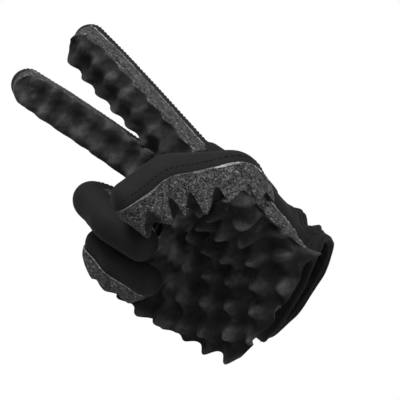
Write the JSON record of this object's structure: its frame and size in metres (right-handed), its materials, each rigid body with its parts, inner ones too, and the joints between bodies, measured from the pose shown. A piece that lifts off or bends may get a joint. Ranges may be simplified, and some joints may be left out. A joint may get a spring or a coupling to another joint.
{
  "type": "sponge grooming glove",
  "caption": "Right-hand knit glove with thick egg-crate sponge glued over palm, thumb and every finger; shown worn in a V sign, jointed at each knuckle.",
  "frame": {"origin": "centre of the wrist opening", "axes": "+Z from the wrist opening to the fingers, the palm and its sponge face -Y, the thumb side is +X"},
  "size_m": [0.1026, 0.1022, 0.1974],
  "materials": {
    "knit_fabric": "black stretch knit, matte with a soft sheen",
    "foam": "open-cell convoluted sponge, black moulded face and greyer cut sides",
    "cuff_binding": "folded and stitched black knit",
    "elastic": "ribbed elastic tape"
  },
  "bodies": {
    "palm": {"palm_back_panel": "knit_fabric", "palm_front_panel": "knit_fabric", "palm_foam": "foam", "cuff_hem": "cuff_binding", "wrist_elastic": "elastic"},
    "index_proximal": {"index_proximal_stall": "knit_fabric", "index_proximal_foam": "foam"},
    "index_middle": {"index_middle_stall": "knit_fabric", "index_middle_foam": "foam"},
    "index_distal": {"index_distal_stall": "knit_fabric", "index_distal_foam": "foam"},
    "middle_proximal": {"middle_proximal_stall": "knit_fabric", "middle_proximal_foam": "foam"},
    "middle_middle": {"middle_middle_stall": "knit_fabric", "middle_middle_foam": "foam"},
    "middle_distal": {"middle_distal_stall": "knit_fabric", "middle_distal_foam": "foam"},
    "ring_proximal": {"ring_proximal_stall": "knit_fabric", "ring_proximal_foam": "foam"},
    "ring_middle": {"ring_middle_stall": "knit_fabric", "ring_middle_foam": "foam"},
    "ring_distal": {"ring_distal_stall": "knit_fabric", "ring_distal_foam": "foam"},
    "little_proximal": {"little_proximal_stall": "knit_fabric", "little_proximal_foam": "foam"},
    "little_middle": {"little_middle_stall": "knit_fabric", "little_middle_foam": "foam"},
    "little_distal": {"little_distal_stall": "knit_fabric", "little_distal_foam": "foam"},
    "thumb_base": {"thumb_base_stall": "knit_fabric", "thumb_base_foam": "foam"},
    "thumb_proximal": {"thumb_proximal_stall": "knit_fabric", "thumb_proximal_foam": "foam"},
    "thumb_distal": {"thumb_distal_stall": "knit_fabric", "thumb_distal_foam": "foam"}
  },
  "joints": [
    {"name": "index_knuckle", "type": "hinge", "parent": "palm", "child": "index_proximal", "pos_m": [0.0275, 0, 0.091], "axis": [0.9758, 0.0698, -0.2074], "range_deg": [-7, 40]},
    {"name": "index_middle_joint", "type": "hinge", "parent": "index_proximal", "child": "index_middle", "pos_m": [0.03648, 0.0023, 0.13401], "axis": [0.9758, 0.0698, -0.2074], "range_deg": [-2, 45]},
    {"name": "index_tip_joint", "type": "hinge", "parent": "index_middle", "child": "index_distal", "pos_m": [0.04165, 0.00273, 0.15847], "axis": [0.9758, 0.0698, -0.2074], "range_deg": [-1.2, 27]},
    {"name": "middle_knuckle", "type": "hinge", "parent": "palm", "child": "middle_proximal", "pos_m": [0.006, 0.0015, 0.094], "axis": [0.999, 0.0349, -0.0262], "range_deg": [-12, 35]},
    {"name": "middle_middle_joint", "type": "hinge", "parent": "middle_proximal", "child": "middle_middle", "pos_m": [0.00745, -0.00435, 0.14162], "axis": [0.999, 0.0349, -0.0262], "range_deg": [-5, 45]},
    {"name": "middle_tip_joint", "type": "hinge", "parent": "middle_middle", "child": "middle_distal", "pos_m": [0.0084, -0.01037, 0.16997], "axis": [0.999, 0.0349, -0.0262], "range_deg": [-3, 27]},
    {"name": "ring_knuckle", "type": "hinge", "parent": "palm", "child": "ring_proximal", "pos_m": [-0.014, 0.001, 0.09], "axis": [0.9981, 0.0436, 0.0436], "range_deg": [-63, 0]},
    {"name": "ring_middle_joint", "type": "hinge", "parent": "ring_proximal", "child": "ring_middle", "pos_m": [-0.01316, -0.03817, 0.11003], "axis": [0.9981, 0.0436, 0.0436], "range_deg": [-85, 0]},
    {"name": "ring_tip_joint", "type": "hinge", "parent": "ring_middle", "child": "ring_distal", "pos_m": [-0.01154, -0.05246, 0.08718], "axis": [0.9981, 0.0436, 0.0436], "range_deg": [-35, 0]},
    {"name": "little_knuckle", "type": "hinge", "parent": "palm", "child": "little_proximal", "pos_m": [-0.032, -0.001, 0.082], "axis": [0.9981, 0.0436, 0.0436], "range_deg": [-68, 0]},
    {"name": "little_middle_joint", "type": "hinge", "parent": "little_proximal", "child": "little_middle", "pos_m": [-0.03116, -0.03342, 0.09516], "axis": [0.9981, 0.0436, 0.0436], "range_deg": [-85, 0]},
    {"name": "little_tip_joint", "type": "hinge", "parent": "little_middle", "child": "little_distal", "pos_m": [-0.02999, -0.04249, 0.07737], "axis": [0.9981, 0.0436, 0.0436], "range_deg": [-35, 0]},
    {"name": "thumb_swing", "type": "hinge", "parent": "palm", "child": "thumb_base", "pos_m": [0.024, -0.008, 0.02], "axis": [0, 0, 1], "range_deg": [0, 25]},
    {"name": "thumb_knuckle", "type": "hinge", "parent": "thumb_base", "child": "thumb_proximal", "pos_m": [0.04387, -0.03873, 0.04788], "axis": [0.0698, 0.6946, 0.716], "range_deg": [0, 45]},
    {"name": "thumb_tip_joint", "type": "hinge", "parent": "thumb_proximal", "child": "thumb_distal", "pos_m": [0.02674, -0.05895, 0.06917], "axis": [-0.2578, 0.7956, 0.5483], "range_deg": [0, 25]}
  ],
  "couplings": [
    {"joint": "index_tip_joint", "follows": "index_middle_joint", "ratio": 0.6},
    {"joint": "middle_tip_joint", "follows": "middle_middle_joint", "ratio": 0.6},
    {"joint": "ring_tip_joint", "follows": "ring_middle_joint", "ratio": 0.41176},
    {"joint": "little_tip_joint", "follows": "little_middle_joint", "ratio": 0.41176}
  ]
}
